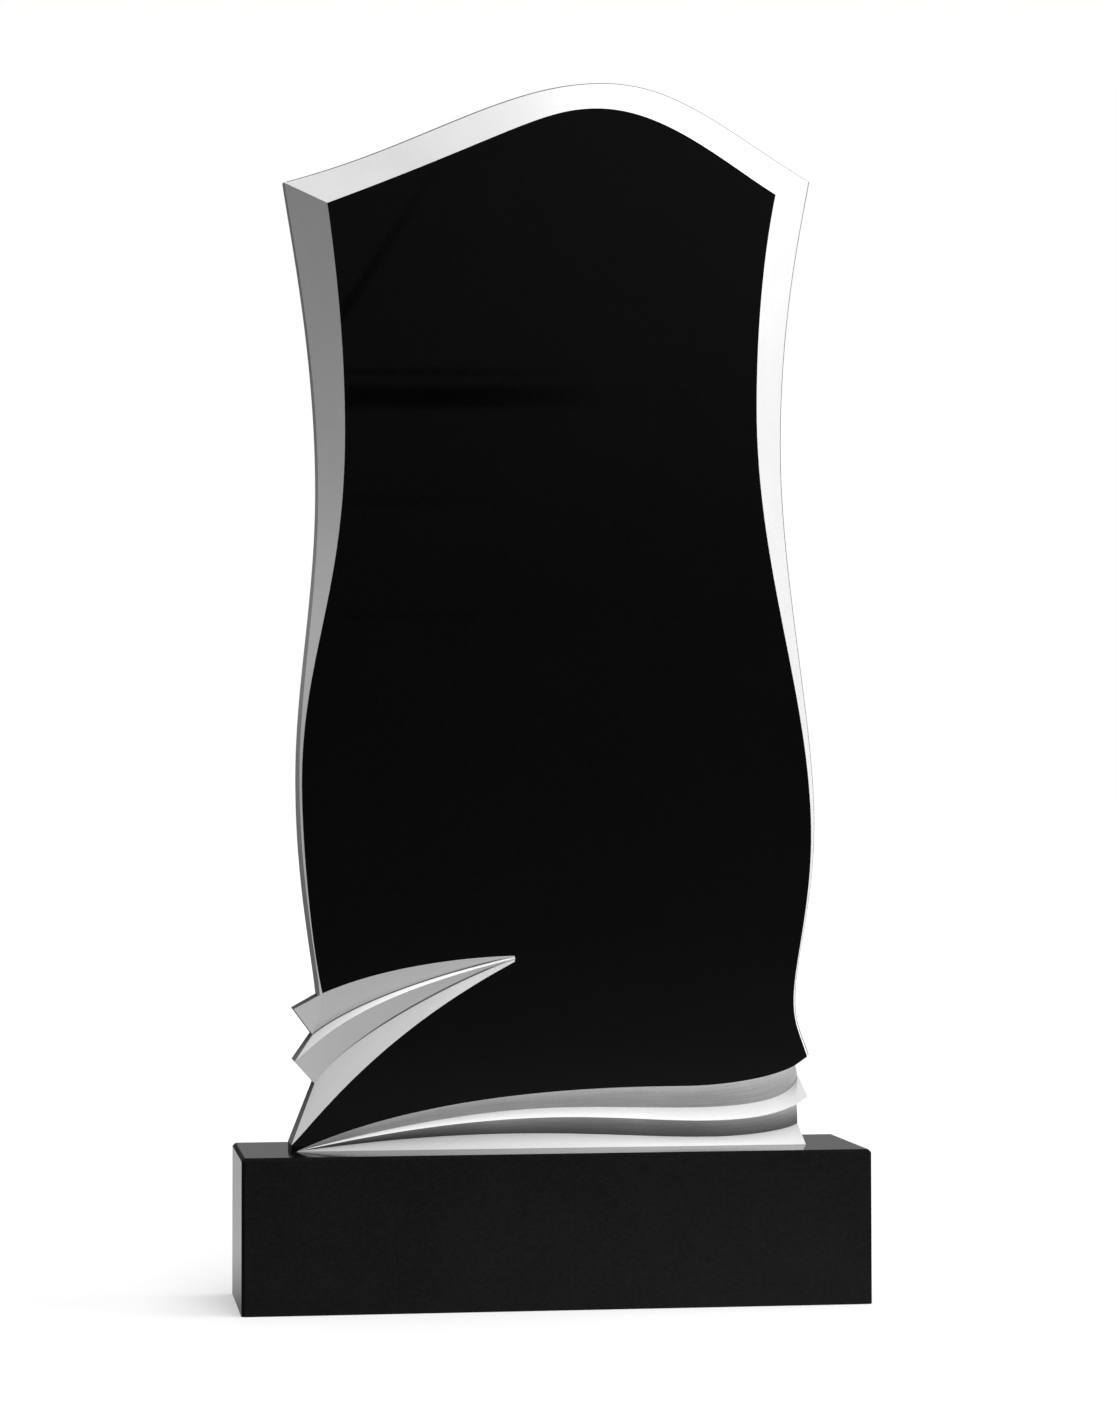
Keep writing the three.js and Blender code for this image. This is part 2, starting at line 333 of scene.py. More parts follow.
# %% [markdown]
# ## One stone, many finishes
#
# The stone is a gabbro that the trade calls black granite: dark feldspar and pyroxene crystals of one to
# three millimetres. Every finish below is that same stone, so all of them share one surface shader and
# the index of refraction of such minerals. Only colour, roughness and relief differ from one to the next.
#
# The plinth is duller than the slab's face, as a stone near the ground is. A rougher polish would blur
# its reflections, but in the picture they are clear and weak. So a dull film of dust is mixed in as a
# second surface, which hides a share of them.

# %% The surface that every finish shares
CRYSTAL = 2.2 * MM
GRANITE_IOR = 1.55
DUST_GREY = "#0a0a0a"


def new_stone(name):
    """An empty material and its node tree."""
    stone = bpy.data.materials.new(name)
    stone.use_nodes = True
    stone.node_tree.nodes.clear()
    return stone, stone.node_tree


def finish_stone(tree, colour, roughness, normal, dust=0.0):
    """The stone's surface. Dust is the share of it that a dull film hides."""
    surface = add_node(
        tree, "ShaderNodeBsdfPrincipled",
        {"Base Color": colour, "Roughness": roughness, "Normal": normal, "IOR": GRANITE_IOR},
    )
    if dust > 0:
        film = add_node(tree, "ShaderNodeBsdfDiffuse", {"Color": hex_colour(DUST_GREY)})
        surface = add_node(tree, "ShaderNodeMixShader", {0: dust, 1: surface, 2: film})
    add_node(tree, "ShaderNodeOutputMaterial", {"Surface": surface})


print("crystals in mm:", CRYSTAL / MM, "index of refraction:", GRANITE_IOR)

# %% [markdown]
# ## Polished granite
#
# Polish closes the surface, so the eye sees almost no scattered light, only faint crystals and a clear
# reflection that waves a little, because a polished slab is never perfectly flat.
#
# That could be painted as an image, but patterns in the stone's own millimetres fit every face and need
# no unwrapping. A cell pattern gives each crystal one grey, and a slow noise shifts it patch by patch.

# %% Polished black granite
TONE_PATCH = 50 * MM
PATCH_SHARE = 0.5  # how much of the grey comes from its patch, the rest from its crystal
SHINE_SPREAD = 0.3  # share by which crystals differ in how well they polish
POLISH_WAVE = 90 * MM
WAVE_HEIGHT = 0.5 * MM
WAVE_STRENGTH = 0.05


def polished_granite(name, low, mid, high, roughness, dust=0.0):
    """Polished stone, its crystals between a low and a high grey."""
    stone, tree = new_stone(name)
    place = add_node(tree, "ShaderNodeTexCoord").outputs["Object"]
    crystals = add_node(tree, "ShaderNodeTexVoronoi", {"Vector": place, "Scale": 1 / CRYSTAL})
    grain = add_node(tree, "ShaderNodeSeparateColor", {"Color": crystals.outputs["Color"]})
    patches = add_node(
        tree, "ShaderNodeTexNoise", {"Vector": place, "Scale": 1 / TONE_PATCH, "Detail": 3.0}
    )
    tone = add_node(
        tree, "ShaderNodeMix",
        {"Factor": PATCH_SHARE, "A": grain.outputs["Red"], "B": patches.outputs["Fac"]},
    )
    colour = add_node(tree, "ShaderNodeValToRGB", {"Fac": tone})
    set_stops(colour, ((0.2, hex_colour(low)), (0.5, hex_colour(mid)), (0.8, hex_colour(high))))
    shine = add_node(
        tree, "ShaderNodeMapRange",
        {
            "Value": grain.outputs["Green"],
            "To Min": roughness * (1 - SHINE_SPREAD), "To Max": roughness * (1 + SHINE_SPREAD),
        },
    )
    wave = add_node(tree, "ShaderNodeTexNoise", {"Vector": place, "Scale": 1 / POLISH_WAVE, "Detail": 1.0})
    flatness = add_node(
        tree, "ShaderNodeBump",
        {"Height": wave.outputs["Fac"], "Strength": WAVE_STRENGTH, "Distance": WAVE_HEIGHT},
    )
    finish_stone(tree, colour, shine, flatness, dust)
    return stone


polished_face = polished_granite("black granite, polished face", "#030303", "#040404", "#050505", 0.02)
polished_plinth = polished_granite(
    "black granite, polished plinth", "#030303", "#080808", "#0d0d0d", 0.1, dust=0.18
)
chamfer = polished_granite(
    "black granite, plinth chamfer", "#060606", "#0a0a0a", "#101010", 0.5, dust=0.6
)
print("polished:", polished_face.name, polished_plinth.name, chamfer.name)

# %% [markdown]
# ## Cut granite
#
# A diamond tool crushes the crystals' tips, and the same stone turns pale grey and matt, with fine
# streaks along the tool's path. Grain and clouds are noise in the stone's own millimetres. The streaks
# also need to know which way the tool ran, and for an image the slab would have to be unwrapped along
# every cut. So the slab's mesh carries it as an attribute, with three numbers at each corner of a face:
# metres along the cut, metres across it, and a level of painted light and shade that multiplies the colour.
#
# Real grit is about 0.1 mm and real streaks about 0.3 mm wide. Both are too fine to show in a picture of
# the whole stone, so they are drawn as coarse as they need to be.

# %% Milled, sawn, honed and ground black granite
GRIT = 0.8 * MM  # crushed crystal tips, drawn coarser than the real ones
STREAK_WIDTH = 1.6 * MM  # drawn coarser than the real ones
STREAK_LENGTH = 60 * MM
CLOUD = 40 * MM
CLOUD_SHARE = 0.3  # how much of the grey comes from clouds
STREAK_HEIGHT_SHARE = 0.5  # how much of the relief is streaks, the rest is grit
RELIEF_STRENGTH = 0.5


def cut_granite(name, low, mid, high, roughness, streak_contrast, relief):
    """Matt granite: crushed grain, clouds between crystals, and streaks along the tool's path."""
    stone, tree = new_stone(name)
    place = add_node(tree, "ShaderNodeTexCoord").outputs["Object"]
    path = add_node(tree, "ShaderNodeAttribute", attribute_name="tool_path_and_painted_light").outputs["Vector"]
    painted_light = add_node(tree, "ShaderNodeSeparateXYZ", {"Vector": path}).outputs["Z"]
    stretched = add_node(
        tree, "ShaderNodeVectorMath",
        {0: path, 1: (1 / STREAK_LENGTH, 1 / STREAK_WIDTH, 0)}, operation="MULTIPLY",
    )
    streaks = add_node(tree, "ShaderNodeTexNoise", {"Vector": stretched, "Scale": 1.0, "Detail": 2.0})
    crystals = add_node(
        tree, "ShaderNodeTexNoise", {"Vector": place, "Scale": 1 / CRYSTAL, "Detail": 3.0, "Roughness": 0.6}
    )
    clouds = add_node(tree, "ShaderNodeTexNoise", {"Vector": place, "Scale": 1 / CLOUD, "Detail": 3.0})
    grain = add_node(
        tree, "ShaderNodeMix",
        {"Factor": streak_contrast, "A": crystals.outputs["Fac"], "B": streaks.outputs["Fac"]},
    )
    tone = add_node(tree, "ShaderNodeMix", {"Factor": CLOUD_SHARE, "A": grain, "B": clouds.outputs["Fac"]})
    greys = add_node(tree, "ShaderNodeValToRGB", {"Fac": tone})
    set_stops(greys, ((0.3, hex_colour(low)), (0.5, hex_colour(mid)), (0.7, hex_colour(high))))
    # The colour is multiplied by the painted light and shade that the mesh carries.
    colour = add_node(tree, "ShaderNodeVectorMath", {0: greys, "Scale": painted_light}, operation="SCALE")
    grit = add_node(tree, "ShaderNodeTexNoise", {"Vector": place, "Scale": 1 / GRIT, "Detail": 2.0})
    height = add_node(
        tree, "ShaderNodeMix",
        {"Factor": STREAK_HEIGHT_SHARE, "A": grit.outputs["Fac"], "B": streaks.outputs["Fac"]},
    )
    bump = add_node(
        tree, "ShaderNodeBump", {"Height": height, "Strength": RELIEF_STRENGTH, "Distance": relief}
    )
    finish_stone(tree, colour, roughness, bump)
    return stone


milled = cut_granite("black granite, milled", "#b1b1b1", "#b6b6b6", "#bbbbbb", 0.75, 0.35, 0.08 * MM)
coarse = cut_granite("black granite, milled coarse", "#a4a4a4", "#b6b6b6", "#c8c8c8", 0.75, 0.6, 0.15 * MM)
sawn = cut_granite("black granite, sawn side", "#8d8d8d", "#9b9b9b", "#a9a9a9", 0.7, 0.35, 0.12 * MM)
honed = cut_granite("black granite, honed back", "#3c3c3c", "#464646", "#505050", 0.45, 0.2, 0.05 * MM)
arris = cut_granite("black granite, ground arris", "#646464", "#6c6c6c", "#747474", 0.6, 0.2, 0.05 * MM)
print("cut:", milled.name, coarse.name, sawn.name, honed.name, arris.name)

# %% [markdown]
# ## The slab's lines
#
# A mason draws this slab on a template as a few long sweeps. Each sweep is a chain of cubic curves here:
# start, two handles, end, and on from there, in millimetres across the face and up from the slab's foot.
# Such curves keep a sweep smooth with very few numbers. A curve object could hold them too, but points
# sampled at even distances are easily joined from one line to the next, and give meshes with even faces.
#
# The first three lines bound the polished face: its left side, the arch and its right side.

# %% Edges of the polished face
FACE_LEFT = [
    (-216, 906), (-202, 808), (-199, 736), (-199, 686),
    (-199, 530), (-240, 471), (-240, 350),
    (-240, 289), (-230, 190), (-220.3, 149.6),
]
FACE_TOP = [
    (-216, 906), (-36, 977), (-7, 1004), (50, 1004),
    (115, 1004), (174, 952), (222, 924),
]
FACE_RIGHT = [
    (222, 924), (206, 848), (202.5, 763), (202.5, 713),
    (202.5, 555), (255, 434), (255, 300),
    (255, 230), (237, 174), (237, 139),
    (237, 117), (242, 109.5), (250.2, 84.4),
]
SIDE_STEPS = 260
TOP_STEPS = 180
FINE = 400  # points that each cubic piece is measured with


def spot(across, depth, height):
    """A point of the template, with its depth behind the polished face."""
    return np.array((across, depth, height), float)


def sample(controls, steps, depth_at=None):
    """Points at even distances along a chain of cubic curves, as (across, depth, height) rows."""
    way = np.linspace(0, 1, FINE)[:, None]
    pieces = []
    for i in range(0, len(controls) - 3, 3):
        start, leave, arrive, end = (np.array(point, float) for point in controls[i : i + 4])
        pieces.append(
            (1 - way) ** 3 * start + 3 * (1 - way) ** 2 * way * leave
            + 3 * (1 - way) * way**2 * arrive + way**3 * end
        )
    line = np.concatenate(pieces)
    run = np.concatenate(([0], np.cumsum(np.linalg.norm(np.diff(line, axis=0), axis=1))))
    even = np.linspace(0, run[-1], steps + 1)
    share = np.linspace(0, 1, steps + 1)
    depth = np.zeros(steps + 1) if depth_at is None else depth_at(share)
    return np.column_stack((np.interp(even, run, line[:, 0]), depth, np.interp(even, run, line[:, 1])))


face_left = sample(FACE_LEFT, SIDE_STEPS)
face_top = sample(FACE_TOP, TOP_STEPS)
face_right = sample(FACE_RIGHT, SIDE_STEPS)
print("points on the face's edges:", len(face_left), len(face_top), len(face_right))

# %% [markdown]
# ## The bevel's outer edge
#
# The bevel is wide at the shoulders and narrows to a few millimetres lower down. A bevel tool keeps one
# width along an edge, so this one is laid between two drawn lines instead. It is milled at 45 degrees,
# which makes it as deep as it is wide, and the depths follow from the two lines. Only at a shoulder,
# where a side meets the top, do both have a say, and the mean of their depths is taken.

# %% Outer edge of the bevel
EDGE_LEFT = [
    (-256, 931.5), (-249, 882), (-224, 764), (-224, 632),
    (-224, 528), (-243, 448), (-243, 355),
    (-243, 259), (-229, 197), (-223.6, 147.3),
]
EDGE_TOP = [
    (-256, 931.5), (-124, 966), (-44, 1035.5), (66, 1035.5),
    (130, 1035.5), (174, 998), (264, 944),
]
EDGE_RIGHT = [
    (264, 944), (254.5, 890), (232.5, 800), (232.5, 665),
    (232.5, 546), (259.5, 402), (259.5, 318),
    (259.5, 228), (239.5, 186), (239.5, 137),
    (239.5, 115), (246, 107), (252.5, 86.1),
]


def insets(inner, outer):
    """How far each outer point lies from the line that its partner's edge runs along."""
    along = np.roll(inner, -1, axis=0) - np.roll(inner, 1, axis=0)
    along[0], along[-1] = inner[1] - inner[0], inner[-1] - inner[-2]
    along /= np.linalg.norm(along, axis=1)[:, None]
    across = outer - inner
    return np.abs(along[:, 0] * across[:, 2] - along[:, 2] * across[:, 0])


def sink_bevel(inner, outer, start_depth=None, end_depth=None):
    """Makes the bevel as deep as it is wide, and eases its ends to the shoulders' depths."""
    depths = insets(inner, outer)
    start_error = 0 if start_depth is None else start_depth - depths[0]
    end_error = 0 if end_depth is None else end_depth - depths[-1]
    outer[:, 1] = depths + np.linspace(start_error, end_error, len(outer))


edge_left = sample(EDGE_LEFT, SIDE_STEPS)
edge_top = sample(EDGE_TOP, TOP_STEPS)
edge_right = sample(EDGE_RIGHT, SIDE_STEPS)
left_shoulder = (insets(face_left, edge_left)[0] + insets(face_top, edge_top)[0]) / 2
right_shoulder = (insets(face_right, edge_right)[0] + insets(face_top, edge_top)[-1]) / 2
sink_bevel(face_left, edge_left, left_shoulder)
sink_bevel(face_top, edge_top, left_shoulder, right_shoulder)
sink_bevel(face_right, edge_right, right_shoulder)
print("shoulder depths in mm:", round(float(left_shoulder), 1), round(float(right_shoulder), 1))

# %% [markdown]
# ## The pleats' lines
#
# The pleats are four cut surfaces between five lines: edge, valley, ridge, valley, edge. They fan out
# from a narrow nose near the middle of the slab to its left side, where the ridge stays almost level with
# the face and the valleys are about 10 mm deep. Each depth fades evenly towards the nose, as it does when
# a disc is lifted out of its cut. A height map could carve them, but only as crisply as its pixels allow.

# %% Pleat lines
PLEAT_TOP = [(-220.3, 149.6), (-150, 180), (-56, 184), (-36, 184)]
PLEAT_UPPER_VALLEY = [(-229, 110), (-179, 150), (-61.5, 178.5), (-35.5, 182.8)]
PLEAT_RIDGE = [(-246.5, 85), (-217, 111), (-185, 145.5), (-35.2, 181.6)]
PLEAT_LOWER_VALLEY = [(-227, 63.5), (-190, 117.5), (-55.5, 177), (-35.5, 180.2)]
PLEAT_BOTTOM = [(-249.7, 6), (-228.5, 25.5), (-171.5, 107.5), (-35.8, 178.3)]
PLEAT_TOP_CORNER = (-247, 134.3)
PLEAT_RIDGE_DEPTH = 0.5
UPPER_PLEAT_DEPTH = 9
LOWER_PLEAT_DEPTH = 10
UPPER_PLEAT_CORNER_DEPTH = 10
PLEAT_STEPS = 140


def flat(at, depth=0.0):
    """A point of the template from its (across, height) place."""
    return spot(at[0], depth, at[1])


def fading(depth):
    """A depth that fades evenly from the start of a line to its end."""
    return lambda share: depth * (1 - share)


pleat_top = sample(PLEAT_TOP, PLEAT_STEPS)
upper_valley = sample(PLEAT_UPPER_VALLEY, PLEAT_STEPS, fading(UPPER_PLEAT_DEPTH))
pleat_ridge = sample(PLEAT_RIDGE, PLEAT_STEPS, fading(PLEAT_RIDGE_DEPTH))
lower_valley = sample(PLEAT_LOWER_VALLEY, PLEAT_STEPS, fading(LOWER_PLEAT_DEPTH))
pleat_bottom = sample(PLEAT_BOTTOM, PLEAT_STEPS)
pleat_corner = flat(PLEAT_TOP_CORNER, UPPER_PLEAT_CORNER_DEPTH)
print("points on each pleat line:", len(pleat_top))

# %% [markdown]
# ## The ribbons' lines
#
# Four ribbons start in one point at the left of the foot and widen towards the right side, where a ridge
# ends in a free tip with a notch under it. Their valleys sink over the first half of the length and then
# keep their depth. The last line is the straight foot itself.

# %% Ribbon lines
RIBBON_START = (-245, 0)
RIBBON_TOP = [
    RIBBON_START, (-117, 57), (55.5, 57.5), (130, 57.5),
    (162, 57.5), (212.5, 62.5), (238.3, 76.2),
]
RIBBON_UPPER_VALLEY = [
    RIBBON_START, (-36.5, 50), (24, 36), (140, 36),
    (220, 36), (242, 50), (242.5, 66.5),
]
RIBBON_RIDGE = [
    RIBBON_START, (-21.5, 45.5), (65, 24), (150, 24),
    (205, 24), (222, 31), (239.8, 38.3),
]
RIBBON_LOWER_VALLEY = [
    RIBBON_START, (-40.5, 24.5), (62, 7.5), (155, 7.5),
    (200, 7.5), (236, 14), (242.5, 19.5),
]
RIBBON_RIDGE_TIP = (251, 45.6)
RIBBON_NOTCH = (238.3, 33)
FOOT_RIGHT = (248.5, 0)
FOOT_LEFT = (-249.7, 0)
RIBBON_RIDGE_DEPTH = 1.2
RIBBON_VALLEY_DEPTH = 11
RIBBON_NOTCH_DEPTH = 4
RIBBON_RISE = 0.5  # share of the length over which the depths grow
RIBBON_STEPS = 220


def deepening(depth):
    """A depth that grows from nothing, quickly at first, and then stays."""
    return lambda share: depth * np.sin(np.minimum(share / RIBBON_RISE, 1) * np.pi / 2)


ribbon_top = sample(RIBBON_TOP, RIBBON_STEPS)
first_valley = sample(RIBBON_UPPER_VALLEY, RIBBON_STEPS, deepening(RIBBON_VALLEY_DEPTH))
ribbon_ridge = sample(RIBBON_RIDGE, RIBBON_STEPS, deepening(RIBBON_RIDGE_DEPTH))
second_valley = sample(RIBBON_LOWER_VALLEY, RIBBON_STEPS, deepening(RIBBON_VALLEY_DEPTH))
ridge_tip = flat(RIBBON_RIDGE_TIP, RIBBON_RIDGE_DEPTH)
notch = flat(RIBBON_NOTCH, RIBBON_NOTCH_DEPTH)
foot_right = flat(FOOT_RIGHT)
foot_left = flat(FOOT_LEFT)
ribbon_share = np.linspace(0, 1, RIBBON_STEPS + 1)[:, None]
foot_line = flat(RIBBON_START) * (1 - ribbon_share) + foot_right * ribbon_share
print("points on each ribbon line:", len(ribbon_top))

# %% [markdown]
# ## From lines to carved surfaces
#
# Each cut surface lies between two of those lines, so it can be laid as rows of points from one to the
# other, like boards across two rails. That gives clean quads which follow the cut, and neighbours that
# share a line meet in a crisp edge. A sculpted or subdivided mesh would round those edges off.
#
# The bevel is the simplest, with straight rows. They stop about 2 mm short of the outer line, because the
# sharp edge is ground off there.

# %% Bevel surfaces
EASED_EDGE = 1.8  # mm ground off the sharp outer edges
EASED_MOST = 0.5  # of a narrow bevel's width
BEVEL_ROWS = 4
TINY = 1e-9  # stands for a width of nothing, so that it can be divided by


def widths(a, b):
    """The distance between two lines, point by point."""
    return np.linalg.norm(b - a, axis=1)


def rows_between(a, b, shares, bulge=None):
    """Rows from line a to line b at each share of the way, lifted in the middle by `bulge` mm."""
    rows = []
    for share in shares:
        part = np.broadcast_to(share, len(a))[:, None]
        row = a + (b - a) * part
        if bulge is not None:
            row[:, 1] -= bulge * 4 * part[:, 0] * (1 - part[:, 0])
        rows.append(row)
    return np.array(rows)


def bevel_rows(inner, outer):
    """Rows that stop short of the outer line by what is ground off there."""
    last = 1 - np.minimum(EASED_EDGE / np.maximum(widths(inner, outer), TINY), EASED_MOST)
    return rows_between(inner, outer, [last * k / BEVEL_ROWS for k in range(BEVEL_ROWS + 1)])


left_bevel = bevel_rows(face_left, edge_left)
top_bevel = bevel_rows(face_top, edge_top)
right_bevel = bevel_rows(face_right, edge_right)
print("rows and points of the top bevel:", top_bevel.shape[:2])

# %% [markdown]
# ## The pleats and their saw marks
#
# The disc that cut the pleats left a fine kerf along both valleys, which shows as a thin dark line. A
# line could be painted there, but a groove also looks right from other sides. So each valley line is sunk
# a little further, and the rows beside it start a little way off, and the valley's row gets painted shade
# as well. The marks die out at the nose, and the lower one is also missing near the slab's side.

# %% Pleat surfaces
KERF_HALF = 1.3  # mm, half the width of the saw mark in a valley
KERF_DEPTH = 1.3  # mm
KERF_MOST = 0.3  # of a narrow pleat's width
KERF_FADE = 0.15  # share of the length over which a mark dies out at the nose
LOWER_KERF_START = 0.12  # share of the length where the lower mark begins
LOWER_KERF_FADE = 0.3  # share of the length over which it grows
PLEAT_ROWS = 4


def kerf(line, strength):
    """The line again, with a saw mark cut below it where strength is above 0."""
    cut = line.copy()
    cut[:, 1] += KERF_DEPTH * strength
    return cut


def beside_kerf(a, b, kerf_at_a, kerf_at_b):
    """Rows of a pleat's surface between two lines, either of which may have a saw mark along it."""
    half = np.minimum(KERF_HALF / np.maximum(widths(a, b), TINY), KERF_MOST)
    near_a = half if kerf_at_a is not None else 0 * half
    near_b = half if kerf_at_b is not None else 0 * half
    shares = [near_a + (1 - near_a - near_b) * k / PLEAT_ROWS for k in range(PLEAT_ROWS + 1)]
    before = [] if kerf_at_a is None else [kerf_at_a]
    after = [] if kerf_at_b is None else [kerf_at_b]
    return np.array([*before, *rows_between(a, b, shares), *after])


pleat_share = np.linspace(0, 1, PLEAT_STEPS + 1)
upper_mark = np.clip((1 - pleat_share) / KERF_FADE, 0, 1)
lower_mark = upper_mark * np.clip((pleat_share - LOWER_KERF_START) / LOWER_KERF_FADE, 0, 1)
upper_kerf = kerf(upper_valley, upper_mark)
lower_kerf = kerf(lower_valley, lower_mark)
pleat_a = beside_kerf(pleat_top, upper_valley, None, upper_kerf)
pleat_b = beside_kerf(upper_valley, pleat_ridge, upper_kerf, None)
pleat_c = beside_kerf(pleat_ridge, lower_valley, None, lower_kerf)
pleat_d = beside_kerf(lower_valley, pleat_bottom, lower_kerf, None)
print("rows and points of the top pleat:", pleat_a.shape[:2])

# %% [markdown]
# ## The ribbons' surfaces
#
# The first and the third ribbon are rounded a little, which makes them look folded rather than chiselled.
# Their rows are lifted in the middle along a parabola, which is simpler than a curve through more lines.
# The bulge grows along the ribbon as the valleys do.

# %% Ribbon surfaces
RIBBON_BULGE = 0.9  # mm that a ribbon's middle stands proud of a straight cut
RIBBON_ROWS = 8

ribbon_shares = [k / RIBBON_ROWS for k in range(RIBBON_ROWS + 1)]
ribbon_lift = RIBBON_BULGE * deepening(1)(ribbon_share[:, 0])
ribbon_a = rows_between(ribbon_top, first_valley, ribbon_shares, ribbon_lift)
ribbon_b = rows_between(first_valley, ribbon_ridge, ribbon_shares)
ribbon_c = rows_between(ribbon_ridge, second_valley, ribbon_shares, ribbon_lift)
ribbon_d = rows_between(second_valley, foot_line, ribbon_shares)
print("rows and points of one ribbon:", ribbon_a.shape[:2])

# %% [markdown]
# ## Painted light and shade on each cut
#
# A cut is not one grey all along, and the lamps alone do not give all of its light and shade. So each cut
# gets painted light on parts of the bevels and on a band of the second pleat, and painted shade towards the
# valleys and where the cut runs out into the polish. A material for each shade would leave hard borders
# between them. A few stops for each surface blend instead: pairs of a share of the way and a level, along
# the cut and for some also across it. They are matched to the picture, and the mesh carries the result in
# its attribute.

# %% Painted light and shade of each cut
# Painted shade: where a saw mark is full, its row keeps this share of its level.
KERF_PAINTED_SHADE = 0.2
EVEN = ((0, 1.0), (1, 1.0))


def pale(rows, along, across=EVEN):
    """A level of painted light and shade for each point of some rows, from (share, level) stops along and
    across the cut.
    """
    lengthwise = np.interp(np.linspace(0, 1, rows.shape[1]), *zip(*along))
    crosswise = np.interp(np.linspace(0, 1, rows.shape[0]), *zip(*across))
    return crosswise[:, None] * lengthwise[None, :]


def pale_pleat(rows, along, kerf_row, strength, across=EVEN):
    """The same for a pleat, with painted shade along its saw mark."""
    levels = pale(rows, along, across)
    levels[kerf_row] *= 1 - (1 - KERF_PAINTED_SHADE) * strength
    return levels


# The stops below paint light and shade: the left bevel paler towards its lower end, the right bevel at its
# shoulder, a bright band along the second pleat, the top pleat darker towards its valley, and the ribbons
# darker towards their valleys and their narrow left ends.
cuts = [
    (left_bevel, milled, pale(left_bevel, ((0, 0.73), (0.4, 0.84), (0.6, 0.96), (0.8, 1.15), (1, 1.7)))),
    (top_bevel, milled, pale(top_bevel, ((0, 0.82), (0.2, 0.8), (0.5, 1.0), (1, 1.05)))),
    (right_bevel, milled, pale(right_bevel, ((0, 1.5), (0.2, 1.2), (0.4, 1.0), (0.6, 0.97), (0.8, 1.15)))),
    (pleat_a, milled, pale_pleat(
        pleat_a, ((0, 0.9), (1, 0.95)), -1, upper_mark, ((0, 1.0), (0.6, 1.0), (0.8, 0.8), (1, 0.8))
    )),
    (pleat_b, milled, pale_pleat(pleat_b, ((0, 0.95), (0.25, 1.05), (0.5, 1.3)), 0, upper_mark)),
    (pleat_c, milled, pale_pleat(pleat_c, ((0, 0.88), (1, 0.9)), -1, lower_mark)),
    (pleat_d, milled, pale_pleat(pleat_d, ((0, 0.88), (0.6, 0.9), (0.8, 1.05)), 0, lower_mark)),
    (ribbon_a, coarse, pale(
        ribbon_a, ((0, 0.4), (0.05, 0.45), (0.25, 0.85), (0.42, 1.0)), ((0, 1.25), (0.45, 1.0), (1, 0.85))
    )),
    (ribbon_b, milled, pale(ribbon_b, ((0, 1.0), (0.2, 1.15)))),
    (ribbon_c, coarse, pale(
        ribbon_c, ((0, 0.3), (0.05, 0.35), (0.25, 0.7), (0.42, 1.0), (0.8, 0.85), (1, 1.35)),
        ((0, 0.75), (0.2, 0.6), (0.45, 0.45), (0.8, 0.27), (1, 0.2)),
    )),
    (ribbon_d, milled, pale(ribbon_d, ((0, 0.62), (0.25, 0.75), (0.6, 0.96), (0.8, 1.03), (1, 0.98)))),
]
print("cut surfaces:", len(cuts))

# %% [markdown]
# ## Building the slab face by face
#
# The slab is one stone, so its skin has to be one closed mesh. Separate grids could be merged by
# distance, but here neighbours share exact points. A dictionary from point to vertex therefore welds them
# as they are laid, and nothing is merged by chance.

# %% An empty mesh that welds its faces
SLAB_THICKNESS = 50
BED = 0.25 * MM  # the slab is let down until it almost touches the plinth
WELD_DIGITS = 4  # points that agree to so many decimals of a millimetre are one
slab_low, slab_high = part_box("headstone_slab")

slab = bmesh.new()
tool_path_and_painted_light = slab.loops.layers.float_vector.new("tool_path_and_painted_light")
slab_stones = [polished_face, milled, coarse, sawn, honed, arris]
slab_corners = {}


def slab_corner(point):
    """The mesh's one vertex at a point of the template."""
    key = tuple(np.round(point, WELD_DIGITS))
    if key not in slab_corners:
        bed = BED if point[2] <= 0 else 0
        slab_corners[key] = slab.verts.new(
            (point[0] * MM, slab_low.y + point[1] * MM, slab_low.z + point[2] * MM - bed)
        )
    return slab_corners[key]


def add_face(points, stone, paths=None, painted_light=1.0):
    """One face. Points that fall together, as at the end of a ribbon, count once."""
    around, path_of = [], {}
    for i, point in enumerate(points):
        corner = slab_corner(point)
        if corner not in path_of:
            around.append(corner)
            path_of[corner] = (0, 0, painted_light) if paths is None else paths[i]
    if len(around) < 3:
        return None
    face = slab.faces.new(around)
    face.material_index = slab_stones.index(stone)
    face.smooth = True
    for loop in face.loops:
        loop[tool_path_and_painted_light] = path_of[loop.vert]
    return face


print("stones on the slab:", len(slab_stones), "foot of the slab in metres:", round(slab_low.z, 4))

# %% [markdown]
# ## Laying the carved surfaces
#
# Each surface's rows become quads. The distance along its first row and the mean width across it give the
# streaks their place, which is close enough for marks this fine and saves unwrapping a curved strip.
#
# The small faces at the ends of the top pleat and of two ribbons, where a cut breaks out of the slab's
# side, are laid as single polygons. The first two get painted light, and the one in the notch painted
# shade.

# %% Carved surfaces
# Painted light on the open ends, and painted shade in the notch, as levels of the stone's grey.
END_FACE_PAINTED_LIGHT = 1.15
NOTCH_PAINTED_SHADE = 0.6


def add_patch(rows, stone, levels):
    """Quads between rows. The tool ran along them, and each point gets the painted light and shade of its
    level.
    """
    along = np.concatenate(([0], np.cumsum(np.linalg.norm(np.diff(rows[0], axis=0), axis=1)))) * MM
    width = np.linalg.norm(rows[-1] - rows[0], axis=1).mean() * MM
    across = np.linspace(0, width, len(rows))
    for row in range(len(rows) - 1):
        for i in range(len(rows[0]) - 1):
            around = ((row, i), (row + 1, i), (row + 1, i + 1), (row, i + 1))
            paths = [(along[n], across[m], levels[m, n]) for m, n in around]
            add_face([rows[m][n] for m, n in around], stone, paths)


